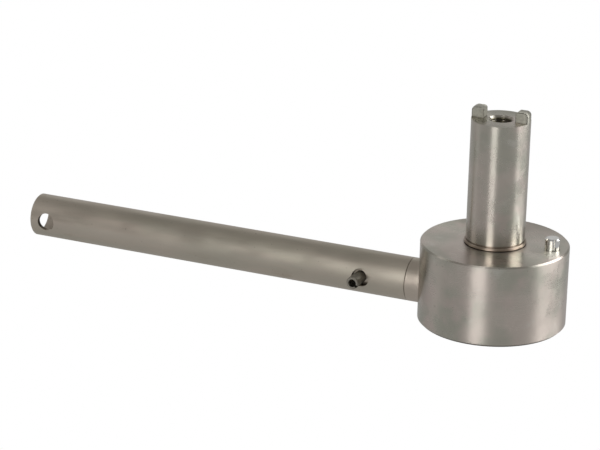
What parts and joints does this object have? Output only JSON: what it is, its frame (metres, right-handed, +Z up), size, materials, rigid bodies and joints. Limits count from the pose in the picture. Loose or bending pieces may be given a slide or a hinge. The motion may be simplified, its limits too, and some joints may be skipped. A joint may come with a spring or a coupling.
{
  "type": "crank handle",
  "caption": "Steel crank handle: a round hub with an upright two-lug drive spindle, tapped on its axis, and a long tubular lever arm pinned to the side.",
  "frame": {"origin": "centre of the hub's flat underside, on the spindle's axis", "axes": "+Z up along the spindle, the lever arm along -X, the spring pin's long end towards -Y"},
  "size_m": [0.199, 0.05, 0.0746],
  "materials": {
    "hub_steel": "fine turned, satin",
    "spindle_steel": "fine turned, satin, rubbed bright on its edges",
    "bright_pin_steel": "bright drawn",
    "stub_steel": "turned",
    "tube_steel": "drawn, lightly stained along its length",
    "spring_steel": "dark rolled spring steel"
  },
  "bodies": {
    "root": {"hub": "hub_steel", "drive_spindle": "spindle_steel", "stop_pin": "bright_pin_steel", "arm_stub": "stub_steel", "arm_tube": "tube_steel", "spring_pin": "spring_steel"}
  },
  "joints": []
}
